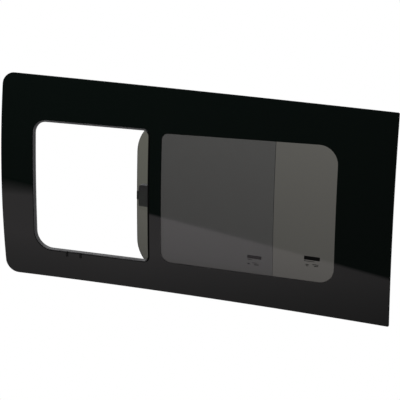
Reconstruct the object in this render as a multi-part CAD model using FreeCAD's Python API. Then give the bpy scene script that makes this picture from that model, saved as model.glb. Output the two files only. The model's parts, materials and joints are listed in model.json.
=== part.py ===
import FreeCAD, Part
import math
import os

from FreeCAD import Vector

# Half-slider side window of a van, in millimetres, seen from outside with the opening at the left.
# X runs along the van, Y goes inwards, Z is up. The outer glass bulges outwards about a level axis,
# so each piece lies in a curved sheet, given by its depth behind the outer face.

# Clear opening inside the lip of its seal, which rises a little towards the right
OPENING_WIDTH = 346.6
OPENING_HEIGHT = 376.0
OPENING_TOP_RISE = 8.5
OPENING_BOTTOM_RISE = 5.9
OPENING_RADIUS_TOP_LEFT = 36.0
OPENING_RADIUS_BOTTOM_LEFT = 48.0
OPENING_RADIUS_TOP_RIGHT = 16.0
OPENING_RADIUS_BOTTOM_RIGHT = 12.0

# Fixed glass around the opening
BORDER_LEFT = 100.5
BORDER_TOP = 132.0
BORDER_BOTTOM = 90.5
GLASS_RIGHT_OF_OPENING = 702.9
GLASS_THICKNESS = 5.0
BEND_RADIUS = 3100.0
LEFT_EDGE_BOW = 5.3
TOP_EDGE_BOW = 1.9
BOTTOM_EDGE_BOW = 7.0
GLASS_RADIUS_TOP_LEFT = 34.0
GLASS_RADIUS_BOTTOM_LEFT = 38.0
GLASS_RADIUS_RIGHT = 4.0

# Sliding glass, which laps the opening on every side when it is shut
PANE_THICKNESS = 4.0
PANE_LAP_LEFT = 27.5
PANE_LAP_RIGHT = 28.4
PANE_LAP_HEIGHT = 37.0
PANE_LEAD_RADIUS = 100.0
PANE_TRAIL_RADIUS = 8.0
OPEN_TRAVEL = 338.0

# Bent channel that the sliding glass runs in
BOND_THICKNESS = 1.0
BOND_INSET = 1.5
CHANNEL_WALL = 2.0
CHANNEL_WIDTH = 13.0
FLANGE_LAP = 12.0
SPLICE_LENGTH = 44.0
SPLICE_THICKNESS = 1.5
SPLICE_MARGIN = 2.0
CORNER_TAIL = 24.0
CAP_PLATE = 2.5
CAP_PLUG = 8.0
STOP_LENGTH = 12.0
DRAIN_LENGTH = 22.0
DRAIN_WIDTH = 5.0
DRAIN_RADIUS = 2.25
DRAIN_COUNT = 4

# Rubber run channel and nylon shoes
LINER_WALL = 1.5
LINER_LIP = 2.5
LINER_SETBACK = 1.0
SHOE_LENGTH = 36.0
SHOE_CAP = 3.0
SHOE_WALL = 1.6
SHOE_GRIP = 7.0
SHOE_END_MARGIN = 16.0

# Seal around the opening and wiper on the pillar
SEAL_LIP = 6.5
SEAL_LIP_THICKNESS = 5.0
SEAL_NOSE_RECESS = 0.5
SEAL_NOSE_SLOPE = 2.4
SEAL_NOSE_FLAT = 0.5
SEAL_BASE = 8.0
SEAL_BULB = 3.5
WIPER_WIDTH = 14.0
WIPER_GAP = 6.0
WIPER_FOOT = 3.0
WIPER_RIB = 3.0

# Two drain lips that hang from the seal over the outer face, given by their distance along the opening
DRAIN_LIP_PLACES = {"left": 96.2, "right": 138.6}
DRAIN_LIP_WIDTH = 6.0
DRAIN_LIP_DROP = 12.0
DRAIN_LIP_THICKNESS = 1.2
DRAIN_LIP_ROOT = 3.2

# Latch on the leading edge and keeper on the jamb
LATCH_DROP = 0.8
LATCH_WIDTH = 34.0
LATCH_HEIGHT = 62.0
LATCH_DEPTH = 17.0
LATCH_SETBACK = 3.5
LATCH_RADIUS = 4.0
LATCH_SHOULDER_RADIUS = 8.0
LATCH_ROUND = 2.0
LATCH_PAD = 0.8
LATCH_PAD_TOP_GAP = 15.0
BOLT_HEIGHT = 24.0
BOLT_THICKNESS = 5.0
BOLT_REACH = 3.5
BOLT_TAIL = 20.0
BOLT_INSET = 2.5
BOLT_NOSE = 2.5
WELL_MARGIN = 7.0
SCOOP_RADIUS = 10.5
LEVER_HEIGHT = 34.0
LEVER_THICKNESS = 3.0
LEVER_RISE = 3.6
LEVER_BEAD_RADIUS = 2.2
LEVER_HOLLOW = 0.75
LEVER_DISH = 0.4
PIN_RADIUS = 1.8
PIN_END = 4.0
KEEPER_EAR = 12.0
KEEPER_PLATE = 2.5
KEEPER_MARGIN = 6.0

# Spacer blocks on the bonding border
SPACER_LENGTH = 40.0
SPACER_HEIGHT = 14.0
SPACER_EDGE_GAP = 18.0
SPACER_THICKNESS = 6.0
SPACER_END_INSET = 145.0
SPACER_RADIUS = 4.0

# Clearances
RUN_CLEARANCE = 0.3
FIT_CLEARANCE = 0.2
CURVED_SEAT_GAP = 0.4
OVERRUN = 10.0

# Heights and places worked out from the sizes above, with X and Z zero at the middle of the glass
PANEL_WIDTH = BORDER_LEFT + OPENING_WIDTH + GLASS_RIGHT_OF_OPENING
PANEL_HEIGHT = BORDER_TOP + OPENING_HEIGHT + BORDER_BOTTOM
PANEL_LEFT = -PANEL_WIDTH / 2
PANEL_BOTTOM = -PANEL_HEIGHT / 2
OPENING_LEFT = PANEL_LEFT + BORDER_LEFT
OPENING_RIGHT = OPENING_LEFT + OPENING_WIDTH
OPENING_BOTTOM = PANEL_BOTTOM + BORDER_BOTTOM
OPENING_TOP = OPENING_BOTTOM + OPENING_HEIGHT

PANE_BOTTOM = OPENING_BOTTOM - PANE_LAP_HEIGHT
PANE_TOP = OPENING_TOP + OPENING_TOP_RISE + PANE_LAP_HEIGHT
PANE_MIDDLE = (PANE_BOTTOM + PANE_TOP) / 2
PANE_WIDTH = PANE_LAP_LEFT + OPENING_WIDTH + PANE_LAP_RIGHT
SHUT_LEAD = OPENING_LEFT - PANE_LAP_LEFT
OPEN_LEAD = SHUT_LEAD + OPEN_TRAVEL
OPEN_TRAIL = OPEN_LEAD + PANE_WIDTH

# Depths behind the outer face, in order
BOND_FRONT = GLASS_THICKNESS + CURVED_SEAT_GAP
CHANNEL_FRONT = BOND_FRONT + BOND_THICKNESS
RUN_FRONT = CHANNEL_FRONT + CHANNEL_WALL
RUN_BACK = RUN_FRONT + CHANNEL_WIDTH
CHANNEL_BACK = RUN_BACK + CHANNEL_WALL
PANE_FRONT = RUN_FRONT + (CHANNEL_WIDTH - PANE_THICKNESS) / 2
PANE_BACK = PANE_FRONT + PANE_THICKNESS
SEAL_FRONT = BOND_FRONT
SEAL_BACK = PANE_FRONT - RUN_CLEARANCE

# Distances outwards from the edge of the sliding glass to the faces of the channel
LINER_FLOOR = SHOE_CAP + RUN_CLEARANCE
WEB_INSIDE = LINER_FLOOR + LINER_WALL
WEB_OUTSIDE = WEB_INSIDE + CHANNEL_WALL
LINER_MOUTH = LINER_SETBACK - FLANGE_LAP

STOP_LEFT = OPEN_TRAIL + RUN_CLEARANCE
PLUG_LEFT = STOP_LEFT + STOP_LENGTH
RAIL_RIGHT = PLUG_LEFT + CAP_PLUG
JOINT_X = SHUT_LEAD + PANE_LEAD_RADIUS + CORNER_TAIL

LATCH_MIDDLE = PANE_MIDDLE - LATCH_DROP
PAD_FRONT = PANE_BACK + CURVED_SEAT_GAP
LATCH_FRONT = PAD_FRONT + LATCH_PAD
BOLT_FRONT = LATCH_FRONT + BOLT_INSET
BOLT_BACK = BOLT_FRONT + BOLT_THICKNESS
LATCH_LEFT = OPEN_LEAD + LATCH_SETBACK
LATCH_RIGHT = LATCH_LEFT + LATCH_WIDTH
KNUCKLE_RADIUS = PIN_RADIUS + LEVER_THICKNESS / 2
WELL_LEFT = LATCH_LEFT + WELL_MARGIN
WELL_DEPTH = 2 * (KNUCKLE_RADIUS + FIT_CLEARANCE)
PIN_X = WELL_LEFT + KNUCKLE_RADIUS + FIT_CLEARANCE

SPACER_BOTTOM_Z = PANEL_BOTTOM + SPACER_EDGE_GAP + SPACER_HEIGHT / 2
SPACER_TOP_Z = -SPACER_BOTTOM_Z
SPACER_LEFT_X = PANEL_LEFT + SPACER_END_INSET


def depth_to_y(depth, z):
    """How far behind the crown of the outer face a point at this depth and height lies."""
    radius = BEND_RADIUS - depth
    return BEND_RADIUS - math.sqrt(radius * radius - z * z)


SPACER_PLANE = depth_to_y(SEAL_FRONT, SPACER_BOTTOM_Z) + SPACER_THICKNESS
ORIGIN = Vector(0, SPACER_PLANE, SPACER_BOTTOM_Z)
LATCH_FACE_Y = depth_to_y(LATCH_FRONT, LATCH_MIDDLE) + LATCH_DEPTH
PIN_Y = LATCH_FACE_Y - WELL_DEPTH / 2

# Reach of the helper solids past the glass
FRONT_Y = -40.0
BACK_Y = 120.0
HALF_SPAN = PANEL_WIDTH
HALF_RISE = PANEL_HEIGHT


def save(name, shape):
    """Moves the origin to the seat of the middle lower spacer and writes the piece."""
    placed = shape.removeSplitter()
    placed.translate(ORIGIN.negative())
    if not placed.isValid() or placed.Volume <= 0:
        raise ValueError("bad solid: " + name)
    placed.exportStep("parts/" + name + ".step")
    print(name, len(placed.Solids), round(placed.Volume / 1000, 2))


def block(x0, x1, y0, y1, z0, z1):
    """A box from its low corner to its high corner."""
    return Part.makeBox(x1 - x0, y1 - y0, z1 - z0, Vector(x0, y0, z0))


def arc_edge(start, middle, end):
    """An arc through three points."""
    return Part.Arc(start, middle, end).toShape()


def sheet(front, back):
    """The curved sheet of the window between two depths behind its outer face."""
    angle = HALF_RISE / BEND_RADIUS
    centre_y = BEND_RADIUS
    points = []
    for radius in (BEND_RADIUS - front, BEND_RADIUS - back):
        side_y = centre_y - radius * math.cos(angle)
        side_z = radius * math.sin(angle)
        points.append((side_y, side_z, centre_y - radius))
    (near_y, near_z, near_crown), (far_y, far_z, far_crown) = points
    x = -HALF_SPAN
    near_low = Vector(x, near_y, -near_z)
    near_high = Vector(x, near_y, near_z)
    far_low = Vector(x, far_y, -far_z)
    far_high = Vector(x, far_y, far_z)
    edges = [
        arc_edge(near_low, Vector(x, near_crown, 0), near_high),
        Part.LineSegment(near_high, far_high).toShape(),
        arc_edge(far_high, Vector(x, far_crown, 0), far_low),
        Part.LineSegment(far_low, near_low).toShape(),
    ]
    return Part.Face(Part.Wire(edges)).extrude(Vector(2 * HALF_SPAN, 0, 0))


def round_corners(solid, corners, radii):
    """Rounds the edges along Y that stand at the given corners."""
    for (x, z), radius in zip(corners, radii):
        if radius <= 0:
            continue
        found = []
        for edge in solid.Edges:
            ends = [vertex.Point for vertex in edge.Vertexes]
            near = all(abs(p.x - x) < 0.001 and abs(p.z - z) < 0.001 for p in ends)
            if near and len(ends) == 2:
                found.append(edge)
        solid = solid.makeFillet(radius, found)
    return solid


def prism(corners, radii=(), y0=FRONT_Y, y1=BACK_Y):
    """A straight prism along Y with the given outline in X and Z and rounded corners."""
    points = [Vector(x, y0, z) for x, z in corners]
    face = Part.Face(Part.makePolygon(points + points[:1]))
    return round_corners(face.extrude(Vector(0, y1 - y0, 0)), corners, radii)


def rectangle(x0, x1, z0, z1):
    """Corners of an upright rectangle, from low left round to high left."""
    return [(x0, z0), (x1, z0), (x1, z1), (x0, z1)]


def opening_prism(offset):
    """The clear opening, grown outwards by an offset."""
    corners = [
        (OPENING_LEFT - offset, OPENING_BOTTOM - offset),
        (OPENING_RIGHT + offset, OPENING_BOTTOM + OPENING_BOTTOM_RISE - offset),
        (OPENING_RIGHT + offset, OPENING_TOP + OPENING_TOP_RISE + offset),
        (OPENING_LEFT - offset, OPENING_TOP + offset),
    ]
    radii = [
        OPENING_RADIUS_BOTTOM_LEFT + offset,
        OPENING_RADIUS_BOTTOM_RIGHT + offset,
        OPENING_RADIUS_TOP_RIGHT + offset,
        OPENING_RADIUS_TOP_LEFT + offset,
    ]
    return prism(corners, radii)


def run_prism(offset, right):
    """The way that the sliding glass runs, from its shut leading edge to the right, grown by an offset."""
    corners = rectangle(SHUT_LEAD - offset, right, PANE_BOTTOM - offset, PANE_TOP + offset)
    radius = PANE_LEAD_RADIUS + offset
    return prism(corners, [radius, 0, 0, radius])


def run_band(inner, outer, right):
    """The band between two offsets of the run, open at its right end."""
    return run_prism(outer, right).cut(run_prism(inner, right + OVERRUN))


def run_layer(inner, outer, front, back, right):
    """A strip of the bent channel's section: between two offsets and two depths."""
    return run_band(inner, outer, right).common(sheet(front, back))


def fuse_all(shapes):
    """One solid from pieces that share faces."""
    return shapes[0].fuse(shapes[1:]).removeSplitter()


def split_run(shape):
    """Cuts a bent piece of the channel into its jamb, its top rail and its bottom rail."""
    left = 2 * PANEL_LEFT
    right = -left
    high = HALF_RISE
    jamb = shape.common(block(left, JOINT_X, FRONT_Y, BACK_Y, -high, high))
    top = shape.common(block(JOINT_X, right, FRONT_Y, BACK_Y, PANE_MIDDLE, high))
    bottom = shape.common(block(JOINT_X, right, FRONT_Y, BACK_Y, -high, PANE_MIDDLE))
    return jamb, top, bottom


def fixed_glass():
    """The curved outer glass with its bowed outline and the opening cut through it."""
    left = PANEL_LEFT
    right = -PANEL_LEFT
    low = PANEL_BOTTOM
    high = -PANEL_BOTTOM
    corners = [(left, low), (right, low), (right, high), (left, high)]
    low_left, low_right, high_right, high_left = [Vector(x, FRONT_Y, z) for x, z in corners]
    edges = [
        arc_edge(low_left, Vector(0, FRONT_Y, low + BOTTOM_EDGE_BOW), low_right),
        Part.LineSegment(low_right, high_right).toShape(),
        arc_edge(high_right, Vector(0, FRONT_Y, high + TOP_EDGE_BOW), high_left),
        arc_edge(high_left, Vector(left - LEFT_EDGE_BOW, FRONT_Y, 0), low_left),
    ]
    outline = Part.Face(Part.Wire(edges)).extrude(Vector(0, BACK_Y - FRONT_Y, 0))
    radii = [GLASS_RADIUS_BOTTOM_LEFT, GLASS_RADIUS_RIGHT, GLASS_RADIUS_RIGHT, GLASS_RADIUS_TOP_LEFT]
    outline = round_corners(outline, corners, radii)
    return outline.common(sheet(0, GLASS_THICKNESS)).cut(opening_prism(SEAL_LIP))


def sliding_glass():
    """The pane that slides behind the fixed glass, drawn fully open."""
    corners = rectangle(OPEN_LEAD, OPEN_TRAIL, PANE_BOTTOM, PANE_TOP)
    radii = [PANE_LEAD_RADIUS, PANE_TRAIL_RADIUS, PANE_TRAIL_RADIUS, PANE_LEAD_RADIUS]
    return prism(corners, radii).common(sheet(PANE_FRONT, PANE_BACK))


def channel():
    """The bent aluminium channel: a web between a front flange and a back flange."""
    parts = [
        run_layer(-FLANGE_LAP, WEB_OUTSIDE, CHANNEL_FRONT, RUN_FRONT, RAIL_RIGHT),
        run_layer(WEB_INSIDE, WEB_OUTSIDE, RUN_FRONT, RUN_BACK, RAIL_RIGHT),
        run_layer(-FLANGE_LAP, WEB_OUTSIDE, RUN_BACK, CHANNEL_BACK, RAIL_RIGHT),
    ]
    return fuse_all(parts)


def liner():
    """The rubber run channel inside the aluminium one, with a lip towards each face of the glass."""
    right = PLUG_LEFT
    lip_inside = LINER_MOUTH
    lip_outside = LINER_MOUTH + LINER_LIP
    parts = [
        run_layer(LINER_MOUTH, WEB_INSIDE, RUN_FRONT, RUN_FRONT + LINER_WALL, right),
        run_layer(LINER_FLOOR, WEB_INSIDE, RUN_FRONT + LINER_WALL, RUN_BACK - LINER_WALL, right),
        run_layer(LINER_MOUTH, WEB_INSIDE, RUN_BACK - LINER_WALL, RUN_BACK, right),
        run_layer(lip_inside, lip_outside, RUN_FRONT + LINER_WALL, SEAL_BACK, right),
        run_layer(lip_inside, lip_outside, PANE_BACK + RUN_CLEARANCE, RUN_BACK - LINER_WALL, right),
    ]
    return fuse_all(parts)


def bond():
    """The adhesive between the fixed glass and the front flange."""
    inner = BOND_INSET - FLANGE_LAP
    outer = WEB_OUTSIDE - BOND_INSET
    return run_layer(inner, outer, BOND_FRONT, CHANNEL_FRONT, RAIL_RIGHT - BOND_INSET)


def keeper_notch(clearance):
    """The gap in the jamb's back flange that the keeper sits in."""
    half = BOLT_HEIGHT / 2 + KEEPER_MARGIN + clearance
    left = SHUT_LEAD - WEB_INSIDE
    right = SHUT_LEAD + FLANGE_LAP + OVERRUN
    y0 = depth_to_y(PANE_BACK + RUN_CLEARANCE, LATCH_MIDDLE) - clearance
    return block(left, right, y0, BACK_Y, LATCH_MIDDLE - half, LATCH_MIDDLE + half)


def drains():
    """Slots through the floor of the bottom rail, spread evenly along it."""
    step = (OPEN_TRAIL - JOINT_X) / DRAIN_COUNT
    middle_y = depth_to_y((RUN_FRONT + RUN_BACK) / 2, PANE_BOTTOM)
    slots = []
    for index in range(DRAIN_COUNT):
        x = JOINT_X + (index + 0.5) * step
        x0 = x - DRAIN_LENGTH / 2
        y0 = middle_y - DRAIN_WIDTH / 2
        z0 = PANE_BOTTOM - WEB_OUTSIDE - OVERRUN
        slot = block(x0, x0 + DRAIN_LENGTH, y0, y0 + DRAIN_WIDTH, z0, PANE_BOTTOM - RUN_CLEARANCE)
        upright = [edge for edge in slot.Edges if edge.BoundBox.ZLength > slot.BoundBox.ZLength / 2]
        slots.append(slot.makeFillet(DRAIN_RADIUS, upright))
    return Part.makeCompound(slots)


def nose_edges(nose):
    """The edges of the nose's front face, round the opening and beside the glass."""
    radius = BEND_RADIUS - SEAL_NOSE_RECESS
    fronts = [f for f in nose.Faces if abs(getattr(f.Surface, "Radius", 0) - radius) < 0.001]
    return [edge for face in fronts for edge in face.Edges]


def opening_seal():
    """The rubber ring of the opening: bevelled nose in the edge of the glass, foot behind it and bulb."""
    reach = run_prism(-FLANGE_LAP - LINER_SETBACK, RAIL_RIGHT)
    lip_back = SEAL_FRONT + SEAL_LIP_THICKNESS
    nose = opening_prism(SEAL_LIP).cut(opening_prism(0)).common(sheet(SEAL_NOSE_RECESS, SEAL_FRONT))
    slope = min(SEAL_NOSE_SLOPE, (SEAL_LIP - SEAL_NOSE_FLAT) / 2)
    nose = nose.makeChamfer(slope, nose_edges(nose))
    foot = opening_prism(SEAL_LIP + SEAL_BASE).cut(opening_prism(0)).common(sheet(SEAL_FRONT, lip_back))
    bulb = opening_prism(SEAL_LIP + SEAL_BULB).common(reach).cut(opening_prism(SEAL_LIP))
    return fuse_all([nose, foot.common(reach), bulb.common(sheet(lip_back, SEAL_BACK))])


def drain_lip(along):
    """A rubber lip from the seal's nose, down over the outer face of the glass."""
    x = OPENING_LEFT + along
    half = DRAIN_LIP_WIDTH / 2
    edge = OPENING_BOTTOM + OPENING_BOTTOM_RISE * along / OPENING_WIDTH - SEAL_LIP
    root_low = edge + FIT_CLEARANCE + OPENING_BOTTOM_RISE * half / OPENING_WIDTH
    front = -CURVED_SEAT_GAP - DRAIN_LIP_THICKNESS
    tongue = prism(rectangle(x - half, x + half, edge - DRAIN_LIP_DROP, root_low + DRAIN_LIP_ROOT))
    root = prism(rectangle(x - half, x + half, root_low, root_low + DRAIN_LIP_ROOT))
    back = SEAL_NOSE_RECESS - FIT_CLEARANCE
    tongue = tongue.common(sheet(front, -CURVED_SEAT_GAP))
    return fuse_all([tongue, root.common(sheet(-CURVED_SEAT_GAP, back))])


def pillar_wiper():
    """The upright wiper on the pillar, which meets the trailing edge of the shut pane."""
    x0 = OPENING_RIGHT + SEAL_LIP + SEAL_BASE + WIPER_GAP
    x1 = x0 + WIPER_WIDTH
    z0 = PANE_BOTTOM + FLANGE_LAP + LINER_SETBACK
    z1 = PANE_TOP - FLANGE_LAP - LINER_SETBACK
    foot_back = SEAL_FRONT + WIPER_FOOT
    foot = prism(rectangle(x0, x1, z0, z1)).common(sheet(SEAL_FRONT, foot_back))
    ribs = []
    for x in (x0, (x0 + x1 - WIPER_RIB) / 2, x1 - WIPER_RIB):
        rib = prism(rectangle(x, x + WIPER_RIB, z0, z1))
        ribs.append(rib.common(sheet(foot_back, SEAL_BACK)))
    return fuse_all([foot] + ribs)


def rail_section_prism(inner, outer, x0, x1, at_top):
    """A straight stretch of the top or bottom run between two offsets from the pane's edge."""
    if at_top:
        return prism(rectangle(x0, x1, PANE_TOP + inner, PANE_TOP + outer))
    return prism(rectangle(x0, x1, PANE_BOTTOM - outer, PANE_BOTTOM - inner))


def rail_cap(at_top):
    """The moulded cap that closes the right end of a rail, with a plug inside the channel."""
    plate = rail_section_prism(-FLANGE_LAP, WEB_OUTSIDE, RAIL_RIGHT, RAIL_RIGHT + CAP_PLATE, at_top)
    plate = plate.common(sheet(CHANNEL_FRONT, CHANNEL_BACK))
    plug = rail_section_prism(LINER_MOUTH, WEB_INSIDE - FIT_CLEARANCE, PLUG_LEFT, RAIL_RIGHT, at_top)
    plug = plug.common(sheet(RUN_FRONT + FIT_CLEARANCE, RUN_BACK - FIT_CLEARANCE))
    return fuse_all([plate, plug])


def rail_stop(at_top):
    """The rubber buffer in a rail that stops the open pane."""
    inner = LINER_MOUTH + LINER_LIP + RUN_CLEARANCE
    outer = LINER_FLOOR - RUN_CLEARANCE
    bar = rail_section_prism(inner, outer, STOP_LEFT, PLUG_LEFT, at_top)
    front = RUN_FRONT + LINER_WALL + RUN_CLEARANCE
    back = RUN_BACK - LINER_WALL - RUN_CLEARANCE
    return bar.common(sheet(front, back))


def shoe(x, at_top):
    """A nylon shoe clipped over the pane's edge."""
    half = SHOE_LENGTH / 2
    cap = rail_section_prism(-SHOE_GRIP, SHOE_CAP, x - half, x + half, at_top)
    cap = cap.common(sheet(PANE_FRONT - SHOE_WALL, PANE_BACK + SHOE_WALL))
    return cap.cut(sliding_glass())


def splice(at_top):
    """The plate across the joint between the bent jamb and a rail."""
    half = SPLICE_LENGTH / 2
    tail = min(half, CORNER_TAIL)
    outer = WEB_OUTSIDE + SPLICE_THICKNESS
    plate = rail_section_prism(WEB_OUTSIDE, outer, JOINT_X - tail, JOINT_X + half, at_top)
    return plate.common(sheet(CHANNEL_FRONT + SPLICE_MARGIN, CHANNEL_BACK - SPLICE_MARGIN))


def latch_y(depth):
    """Y of a depth at the height of the latch."""
    return depth_to_y(depth, LATCH_MIDDLE)


def latch_prism(inset, y0, y1):
    """The outline of the latch, shrunk by an inset: square to the pane's edge, with one large shoulder."""
    half = LATCH_HEIGHT / 2 - inset
    corners = rectangle(LATCH_LEFT + inset, LATCH_RIGHT - inset, LATCH_MIDDLE - half, LATCH_MIDDLE + half)
    small = LATCH_RADIUS - inset
    return prism(corners, [small, small, small, LATCH_SHOULDER_RADIUS - inset], y0, y1)


def bolt_range(clearance):
    """Box of the bolt inside the housing, with a clearance round it."""
    half = BOLT_HEIGHT / 2 + clearance
    x0 = OPEN_LEAD - BOLT_REACH
    x1 = LATCH_LEFT + BOLT_TAIL + clearance
    y0 = latch_y(BOLT_FRONT) - clearance
    y1 = latch_y(BOLT_BACK) + clearance
    return x0, x1, y0, y1, LATCH_MIDDLE - half, LATCH_MIDDLE + half


def latch_pad():
    """The adhesive pad that holds the latch to the pane, short of the housing's upper end."""
    top = LATCH_MIDDLE + LATCH_HEIGHT / 2 - LATCH_PAD_TOP_GAP
    below = block(LATCH_LEFT, LATCH_RIGHT, FRONT_Y, BACK_Y, -HALF_RISE, top)
    return latch_prism(FIT_CLEARANCE, FRONT_Y, BACK_Y).common(sheet(PAD_FRONT, LATCH_FRONT)).common(below)


def along_pin(radius, half):
    """A round bar on the lever's pin."""
    foot = Vector(PIN_X, PIN_Y, LATCH_MIDDLE - half)
    return Part.makeCylinder(radius, 2 * half, foot)


def latch_housing():
    """The moulded latch body: a tunnel for the bolt, a well for the lever and a scoop for the finger."""
    body = latch_prism(0, 0, LATCH_FACE_Y)
    rim = [e for e in body.Edges if all(abs(v.Point.y - LATCH_FACE_Y) < 0.001 for v in e.Vertexes)]
    body = body.makeFillet(LATCH_ROUND, rim)
    body = body.cut(sheet(-BACK_Y, LATCH_FRONT))
    body = body.cut(block(*bolt_range(FIT_CLEARANCE)))
    half = LEVER_HEIGHT / 2 + FIT_CLEARANCE
    z0 = LATCH_MIDDLE - half
    z1 = LATCH_MIDDLE + half
    well_floor = LATCH_FACE_Y - WELL_DEPTH
    well = block(WELL_LEFT, LATCH_RIGHT + OVERRUN, well_floor, LATCH_FACE_Y + OVERRUN, z0, z1)
    scoop = Part.makeCylinder(SCOOP_RADIUS, z1 - z0, Vector(LATCH_RIGHT, LATCH_FACE_Y, z0))
    hole = along_pin(PIN_RADIUS, LEVER_HEIGHT / 2 + PIN_END)
    return body.cut(well).cut(scoop).cut(hole)


def latch_pin():
    """The pin that the lever turns on, its ends in the walls of the housing."""
    return along_pin(PIN_RADIUS, LEVER_HEIGHT / 2 + PIN_END)


def latch_lever():
    """The finger lever: a knuckle on the pin, a hollowed blade over the scoop and a bead at its end."""
    low = LATCH_MIDDLE - LEVER_HEIGHT / 2
    bead_x = LATCH_RIGHT - LEVER_BEAD_RADIUS
    bead_y = PIN_Y + LEVER_RISE
    pin_front = Vector(PIN_X, PIN_Y - LEVER_THICKNESS / 2, low)
    pin_back = Vector(PIN_X, PIN_Y + KNUCKLE_RADIUS, low)
    bead_front = Vector(bead_x, bead_y - LEVER_BEAD_RADIUS, low)
    bead_tip = Vector(bead_x + LEVER_BEAD_RADIUS, bead_y, low)
    bead_back = Vector(bead_x, bead_y + LEVER_BEAD_RADIUS, low)
    hollow = (pin_front + bead_front) / 2 + Vector(0, LEVER_HOLLOW, 0)
    crown = (pin_back + bead_back) / 2 + Vector(0, -LEVER_DISH, 0)
    edges = [
        arc_edge(pin_front, hollow, bead_front),
        arc_edge(bead_front, bead_tip, bead_back),
        arc_edge(bead_back, crown, pin_back),
        Part.LineSegment(pin_back, pin_front).toShape(),
    ]
    blade = Part.Face(Part.Wire(edges)).extrude(Vector(0, 0, LEVER_HEIGHT))
    lever = along_pin(KNUCKLE_RADIUS, LEVER_HEIGHT / 2).fuse(blade)
    return lever.cut(along_pin(PIN_RADIUS + FIT_CLEARANCE / 2, LEVER_HEIGHT / 2))


def latch_bolt():
    """The spring bolt, with a sloped nose that rides over the keeper."""
    x0, x1, y0, y1, z0, z1 = bolt_range(0)
    points = [
        Vector(x0, y0, z0),
        Vector(x1, y0, z0),
        Vector(x1, y1, z0),
        Vector(x0 + BOLT_NOSE, y1, z0),
        Vector(x0, y1 - BOLT_NOSE, z0),
    ]
    return Part.Face(Part.makePolygon(points + points[:1])).extrude(Vector(0, 0, z1 - z0))


def keeper():
    """The keeper on the jamb: a block with a pocket for the bolt and two ears on the back flange."""
    ear_front = latch_y(CHANNEL_BACK)
    back = ear_front + KEEPER_PLATE
    half = BOLT_HEIGHT / 2 + KEEPER_MARGIN
    left = SHUT_LEAD - WEB_INSIDE
    right = SHUT_LEAD + FLANGE_LAP
    front = latch_y(PANE_BACK + RUN_CLEARANCE)
    core = block(left, right, front, back, LATCH_MIDDLE - half, LATCH_MIDDLE + half)
    ear_half = half + KEEPER_EAR
    ears = block(left, right, ear_front, back, LATCH_MIDDLE - ear_half, LATCH_MIDDLE + ear_half)
    ears = ears.cut(sheet(-BACK_Y, CHANNEL_BACK))
    x0, x1, y0, y1, z0, z1 = bolt_range(RUN_CLEARANCE)
    pocket_left = x0 - OPEN_TRAVEL - RUN_CLEARANCE
    pocket = block(pocket_left, right + OVERRUN, y0, y1, z0, z1)
    return core.fuse(ears).cut(pocket)


def spacer(x, z):
    """A block on the bonding border whose back face seats on the van's flange."""
    half = SPACER_LENGTH / 2
    rise = SPACER_HEIGHT / 2
    corners = rectangle(x - half, x + half, z - rise, z + rise)
    return prism(corners, [SPACER_RADIUS] * 4, 0, SPACER_PLANE).cut(sheet(-BACK_Y, SEAL_FRONT))


def build():
    """Writes one file for each piece."""
    os.makedirs("parts", exist_ok=True)
    save("fixed_glass", fixed_glass())
    save("sliding_glass", sliding_glass())

    jamb, top, bottom = split_run(channel())
    save("jamb_frame", jamb.cut(keeper_notch(FIT_CLEARANCE)))
    save("top_rail", top)
    save("bottom_rail", bottom.cut(drains()))

    jamb, top, bottom = split_run(liner())
    save("jamb_liner", jamb.cut(keeper_notch(FIT_CLEARANCE)))
    save("top_liner", top)
    save("bottom_liner", bottom.cut(drains()))

    jamb, top, bottom = split_run(bond())
    save("jamb_bond", jamb)
    save("top_bond", top)
    save("bottom_bond", bottom)

    save("opening_seal", opening_seal())
    save("pillar_wiper", pillar_wiper())
    for place, along in DRAIN_LIP_PLACES.items():
        save("drain_lip_" + place, drain_lip(along))

    shoe_lead = OPEN_LEAD + PANE_LEAD_RADIUS + SHOE_END_MARGIN + SHOE_LENGTH / 2
    shoe_trail = OPEN_TRAIL - SHOE_END_MARGIN - SHOE_LENGTH / 2
    for side in ("top", "bottom"):
        at_top = side == "top"
        save(side + "_splice", splice(at_top))
        save(side + "_rail_cap", rail_cap(at_top))
        save(side + "_stop", rail_stop(at_top))
        save(side + "_lead_shoe", shoe(shoe_lead, at_top))
        save(side + "_trail_shoe", shoe(shoe_trail, at_top))

    save("latch_pad", latch_pad())
    save("latch_housing", latch_housing())
    save("latch_pin", latch_pin())
    save("latch_lever", latch_lever())
    save("latch_bolt", latch_bolt())
    save("keeper", keeper())

    for row, z in (("bottom", SPACER_BOTTOM_Z), ("top", SPACER_TOP_Z)):
        for place, x in (("left", SPACER_LEFT_X), ("middle", 0.0), ("right", -SPACER_LEFT_X)):
            save(row + "_spacer_" + place, spacer(x, z))


build()
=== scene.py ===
import bpy
import json
import math
from mathutils import Matrix, Vector

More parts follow.
